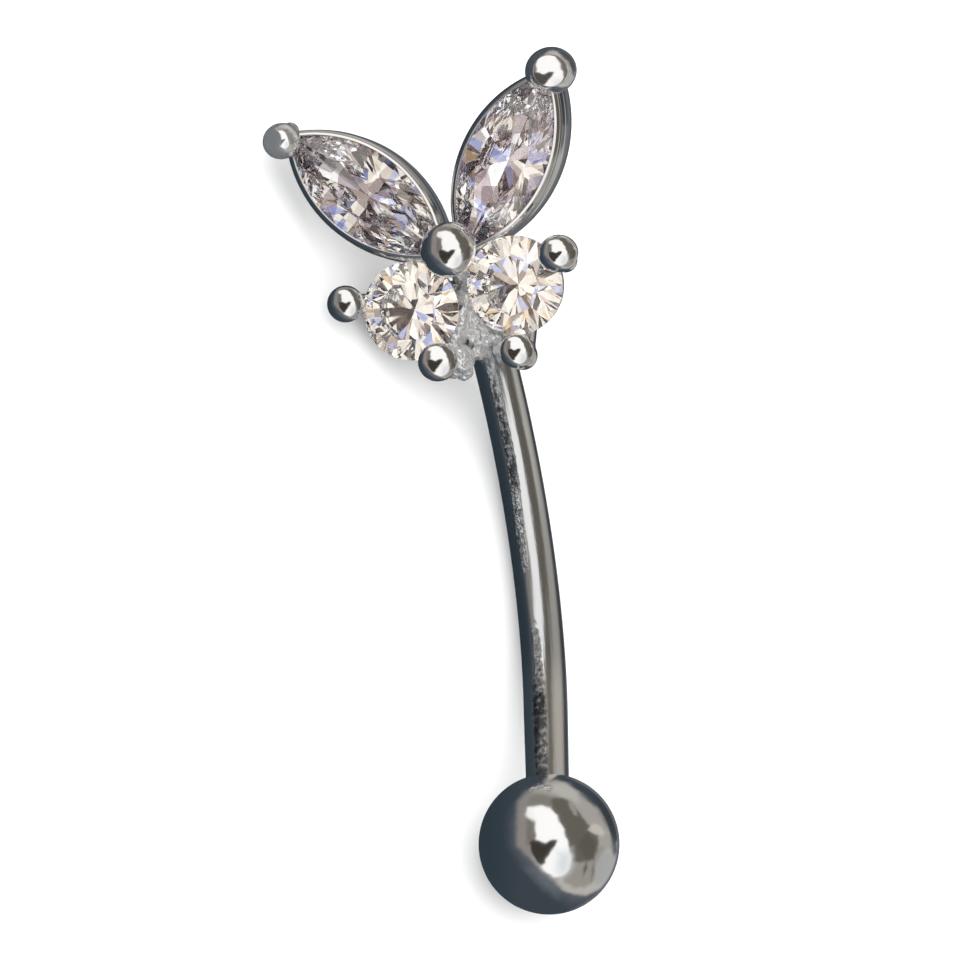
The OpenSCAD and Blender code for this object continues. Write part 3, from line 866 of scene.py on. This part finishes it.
# Prongs at the wings' tips: a broad dome on the right, and a filed nub on the left

tipWire = {"radius": 0.24, "gap": 0.03, "footRadius": 0.26, "footZ": -0.6}
dome = {"centre": (4.33, 4.355, 0.6), "wide": 0.745, "tall": 0.69, "face": 0.655, "slope": 17, "edge": 0.03,
        "deep": 0.75, "rise": 1.3, "leanX": -0.11, "leanY": -0.1, "up": (0.345, 0.07, 0.936),
        "wireTop": 0.68, "sideSteps": 60, "faceSteps": 14, "segments": 96}
nub = {"centre": (-4.0, 4.29, 0.56), "wide": 0.57, "tall": 0.52, "faceRadius": 0.335,
       "up": (-0.331, 0.195, 0.923), "wireTop": 0.3, "bevel": [(0.03, 0.012), (0.07, 0.018)], "rise": 0.022,
       "flatFrom": 0.4, "filedRise": 0.014, "sideSteps": 60, "segments": 96}


def standTipWire(mesh, row, top):
    arc, half, tip = lensArcs(stoneInset)
    halfLength = math.sqrt(arc ** 2 - (arc - half) ** 2)
    foot = onWing(row) @ Vector((halfLength + tipWire["gap"] + tipWire["radius"], 0, 0))
    foot.z = tipWire["footZ"]
    rod(mesh, foot, Vector((foot.x, foot.y, top)), tipWire["radius"])
    bead(mesh, (foot.x, foot.y, top), tipWire["radius"], segments=48)
    bead(mesh, foot, tipWire["footRadius"])


def buildDome():
    mesh = bmesh.new()
    standTipWire(mesh, wings["Right"], dome["wireTop"])
    facedTip(mesh, dome)
    finishPiece("tipDomeRight", mesh, pressedSteel, sharpAngle=60)


def buildNub():
    mesh = bmesh.new()
    scuff = mesh.verts.layers.float.new("scuff")
    standTipWire(mesh, wings["Left"], nub["wireTop"])
    shape = Matrix.Diagonal((nub["wide"], nub["tall"], nub["tall"], 1))
    centre = Vector(nub["centre"])
    place = towards(centre, Vector(nub["up"])) @ shape
    corner = math.degrees(math.acos(nub["faceRadius"] / nub["wide"]))
    profile = [(0, -1)] + arcProfile(0, 1, poleGap - 90, corner, nub["sideSteps"])
    edge, top = profile[-1]
    profile += [(edge - within, top + rise) for within, rise in nub["bevel"]]
    profile += [(nub["flatFrom"] * edge, top + nub["rise"]), (0, top + nub["rise"])]
    lathe(mesh, profile, place, nub["segments"])
    # the face is filed
    out = place.to_3x3() @ Vector((0, 0, 1))
    for vert in mesh.verts:
        beyond = (vert.co - centre).dot(out.normalized()) / out.length - top
        vert[scuff] = smoothStep(0.0, nub["filedRise"], beyond)
    finishPiece("tipNubLeft", mesh, filedSteel, sharpAngle=35)


buildDome()
buildNub()


# Middle prong: a big ball over all four stones, on a post, with a collar pushed up on one side

middleProng = {
    "centre": (0.2, 0.095, 1.0), "size": (0.795, 0.795, 0.62), "deep": 1.1, "facing": (0.222, 0.121, 0.978),
    "postY": -0.05, "postRadius": 0.26,
    "collar": (0.2, 0.18, 0.5), "collarSize": (0.7, 0.7, 0.26, 1),
}


def buildMiddleProng():
    mesh = bmesh.new()
    foot = Vector((0, middleProng["postY"], -barbell["axisBack"]))
    rod(mesh, foot, Vector((0, middleProng["postY"], middleProng["centre"][2])), middleProng["postRadius"])
    pressedTip(mesh, middleProng["centre"], middleProng["facing"], middleProng["size"],
               deep=middleProng["deep"], segments=128)
    place = Matrix.Translation(middleProng["collar"]) @ Matrix.Diagonal(middleProng["collarSize"])
    lathe(mesh, ballProfile(1, 48), place, 96)
    finishPiece("middleProng", mesh, steel, sharpAngle=60)


buildMiddleProng()
print("prongs made")


# Solder: beads run together, with a grainy skin

solder = {
    "beads": [
        (0.04, -0.6, -0.78, 0.42), (-0.03, -1.34, -0.58, 0.43), (0.05, -1.86, -0.66, 0.44),
        (0.1, -2.35, -0.85, 0.5), (-0.25, -2.75, -0.95, 0.42), (-0.52, -3.0, -0.15, 0.4),
        (-0.5, -2.9, -0.65, 0.36), (0.62, -3.0, -0.75, 0.34),
    ],
    "lumps": [
        (-0.46, -3.06, 0.12, 0.36), (-0.5, -2.92, 0.02, 0.27), (-0.48, -3.2, 0.0, 0.24),
        (-0.75, -3.28, 0.05, 0.24), (-0.53, -3.38, -0.2, 0.26), (0.02, -2.66, -0.42, 0.17),
        (0.25, -2.72, -0.42, 0.16), (0.48, -2.66, -0.38, 0.17), (0.64, -2.64, -0.4, 0.14),
        (-0.16, -2.92, -0.52, 0.2), (0.02, -2.36, -0.48, 0.2), (0.04, -2.02, -0.4, 0.2),
        (-0.1, -2.55, -0.4, 0.15),
    ],
    # a thin strand round the left stone's edge: x, y, z and radius along it
    "strand": [(0.08, -1.25, -0.1, 0.09), (0.0, -1.5, -0.08, 0.1), (-0.12, -1.72, -0.08, 0.11),
               (-0.2, -1.93, -0.08, 0.12), (-0.31, -2.14, -0.08, 0.12), (-0.45, -2.33, -0.08, 0.12),
               (-0.6, -2.49, -0.06, 0.12), (-0.78, -2.6, -0.02, 0.11)],
    # drops along the strand, their shake, and the solder that the strand stands on
    "drops": 4, "seed": 5, "shake": 0.025, "swell": (0.8, 1.1),
    "props": [((0.03, -0.02, -0.15), 0.14), ((0.06, -0.03, -0.3), 0.17)],
    "voxel": 0.028, "smooth": {"factor": 0.5, "iterations": 4}, "grain": 0.035,
    "grainSize": 0.08, "grainFrom": (7, 3, 5), "lump": 0.05, "lumpSize": 0.3,
}


def modifierResult(mesh, name, settings):
    # runs one modifier on a mesh in millimetres, and gives the result back
    data = bpy.data.meshes.new("work")
    mesh.to_mesh(data)
    mesh.free()
    work = addObject("work", data)
    modifier = work.modifiers.new(name, name)
    for key, value in settings.items():
        setattr(modifier, key, value)
    result = bpy.data.meshes.new_from_object(work.evaluated_get(bpy.context.evaluated_depsgraph_get()))
    made = bmesh.new()
    made.from_mesh(result)
    bpy.data.objects.remove(work)
    bpy.data.meshes.remove(result)
    bpy.data.meshes.remove(data)
    return made


def buildSolder():
    mesh = bmesh.new()
    dice = random.Random(solder["seed"])

    def drop(point, radius):
        bmesh.ops.create_icosphere(mesh, subdivisions=3, radius=radius, matrix=Matrix.Translation(point))

    for x, y, z, radius in solder["beads"] + solder["lumps"]:
        drop(Vector((x, y, z)), radius)
    for first, second in zip(solder["strand"], solder["strand"][1:]):
        a, b = Vector(first[:3]), Vector(second[:3])
        for i in range(solder["drops"]):
            share = i / solder["drops"]
            point = a.lerp(b, share)
            shake = Vector([dice.uniform(-1, 1) for axis in range(3)]) * solder["shake"]
            radius = (first[3] + (second[3] - first[3]) * share) * dice.uniform(*solder["swell"])
            drop(point + shake, radius)
            for shift, radius in solder["props"]:
                drop(point + Vector(shift), radius)
    mesh = modifierResult(mesh, "REMESH", {"mode": "VOXEL", "voxel_size": solder["voxel"]})
    mesh = modifierResult(mesh, "SMOOTH", solder["smooth"])
    mesh.normal_update()
    shifts = []
    for vert in mesh.verts:
        lump = noise.noise(vert.co / solder["lumpSize"]) * solder["lump"]
        grain = noise.noise(vert.co / solder["grainSize"] + Vector(solder["grainFrom"])) * solder["grain"]
        shifts.append((vert, (lump + grain) * vert.normal))
    for vert, shift in shifts:
        vert.co += shift
    finishPiece("solder", mesh, solderSteel, sharpAngle=180)


buildSolder()


# Rails under the round stones, and posts up to the settings: start, end and radius

rails = [
    ((-0.78, -1.03, -1.0), (0.78, -1.03, -1.0), 0.28), ((-0.78, -1.68, -1.0), (0.78, -1.68, -1.0), 0.28),
    ((-1.2, 0.1, -0.85), (-1.2, 0.1, -0.35), 0.22), ((1.2, 0.1, -0.85), (1.2, 0.1, -0.35), 0.22),
    ((0, 0.55, -1.05), (0, 0.55, -0.15), 0.26),
]


def buildRails():
    mesh = bmesh.new()
    for start, end, radius in rails:
        rod(mesh, Vector(start), Vector(end), radius)
    finishPiece("rails", mesh, steel, sharpAngle=60)


buildRails()
print("solder and rails made")


# Stones: a block of the outline, with each facet's plane cut in turn. A tier of facets leans so that its
# planes cross the stone's axis at apex, and touch the girdle's edge, or reach of it where that is given.

cutRules = {"girdleHalf": 0.03, "block": 1.6, "corners": 64, "weld": 2e-4}
roundTiers = {
    "mains": {"apex": -1.265, "turns": 8, "offset": 0.0},
    "lower halves": {"apex": -1.288, "turns": 16, "offset": 0.5},
    "bezels": {"apex": 0.99, "turns": 8, "offset": 0.0},
    "upper halves": {"apex": 1.18, "turns": 16, "offset": 0.5},
    "stars": {"apex": 0.72, "turns": 8, "offset": 0.5, "reach": 0.735, "reachZ": 0.4},
}
roundTable = 0.453
wingTiers = {
    "mains": {"apex": -1.02, "turns": 8, "offset": 0.0},
    "second row": {"apex": -1.035, "turns": 16, "offset": 0.5},
    "third row": {"apex": -1.075, "turns": 24, "offset": 0.25},
    "fourth row": {"apex": -1.15, "turns": 36, "offset": 0.5},
    "girdle row": {"apex": -1.27, "turns": 48, "offset": 0.5},
    "bezels": {"apex": 0.82, "turns": 8, "offset": 0.0},
    "upper halves": {"apex": 1.0, "turns": 16, "offset": 0.5},
    "stars": {"apex": 0.61, "turns": 8, "offset": 0.5, "reach": 0.735, "reachZ": 0.34},
}
wingTable = 0.389


def roundFacing(share):
    a = 2 * math.pi * share
    return Vector((math.cos(a), math.sin(a))), roundStone["radius"]


def wingFacing(share):
    # facets are spaced along the arcs, so most face the long sides, and two face the tips
    arc, half, tip = lensArcs(stoneInset)
    side = 1 if share < 0.5 else -1
    across = share * 2 % 1
    if across < tiny:
        return Vector((side, 0)), arc * math.sin(tip)
    a = side * tip * (1 - 2 * across)
    return Vector((math.sin(a), side * math.cos(a))), arc - (arc - half) * math.cos(a)


def blockOutline(facing, count):
    if facing is wingFacing:
        return lensOutline(stoneInset, count // 2)
    turns = [2 * math.pi * i / count for i in range(count)]
    return [(roundStone["radius"] * math.cos(a), roundStone["radius"] * math.sin(a)) for a in turns]


def buildStone(name, place, facing, tiers, tableZ, node, material):
    mesh = bmesh.new()
    outline = blockOutline(facing, cutRules["corners"])
    ends = (-cutRules["block"], cutRules["block"])
    ringsToFaces(mesh, [[mesh.verts.new((x, y, z)) for x, y in outline] for z in ends])
    bmesh.ops.recalc_face_normals(mesh, faces=mesh.faces)

    def cut(point, normal):
        parts = mesh.verts[:] + mesh.edges[:] + mesh.faces[:]
        result = bmesh.ops.bisect_plane(mesh, geom=parts, dist=tiny, plane_co=point, plane_no=normal,
                                        clear_outer=True)
        rim = [part for part in result["geom_cut"] if isinstance(part, bmesh.types.BMEdge)]
        if len(rim) > 2:
            bmesh.ops.contextual_create(mesh, geom=rim)

    for tier in tiers.values():
        upwardSide = 1 if tier["apex"] > 0 else -1
        for i in range(tier["turns"]):
            way, reach = facing((i + tier["offset"]) / tier["turns"])
            atZ = tier.get("reachZ", upwardSide * cutRules["girdleHalf"])
            reach *= tier.get("reach", 1)
            lean = abs(tier["apex"] - atZ) / reach
            normal = Vector((way.x * lean, way.y * lean, upwardSide)).normalized()
            cut(Vector((0, 0, tier["apex"])), normal)
    cut(Vector((0, 0, tableZ)), Vector((0, 0, 1)))
    bmesh.ops.remove_doubles(mesh, verts=mesh.verts, dist=cutRules["weld"])
    mesh.transform(place)
    piece = finishPiece(name, mesh, material, smooth=False, nodes=[node])
    print(name, len(piece.data.polygons), "facets")


# how far the round stones are turned outwards, in degrees
roundTurn = 9

for word, row in wings.items():
    buildStone("wingStone" + word, onWing(row), wingFacing, wingTiers, wingTable,
               "stone_upper_" + word.lower(), paintedReflectionStone[word])
    place = Matrix.Rotation(math.radians(row["side"] * roundTurn), 4, "Z")
    place.translation = Vector((row["side"] * roundStone["x"], roundStone["y"], 0))
    buildStone("roundStone" + word, place, roundFacing, roundTiers, roundTable,
               "stone_lower_" + word.lower(), clearStone)
print("stones cut")


# Light paths long enough for the stones, and colours shown as they are

scene.cycles.max_bounces = 32
scene.cycles.glossy_bounces = 24
scene.cycles.transmission_bounces = 24
scene.view_settings.view_transform = "Standard"
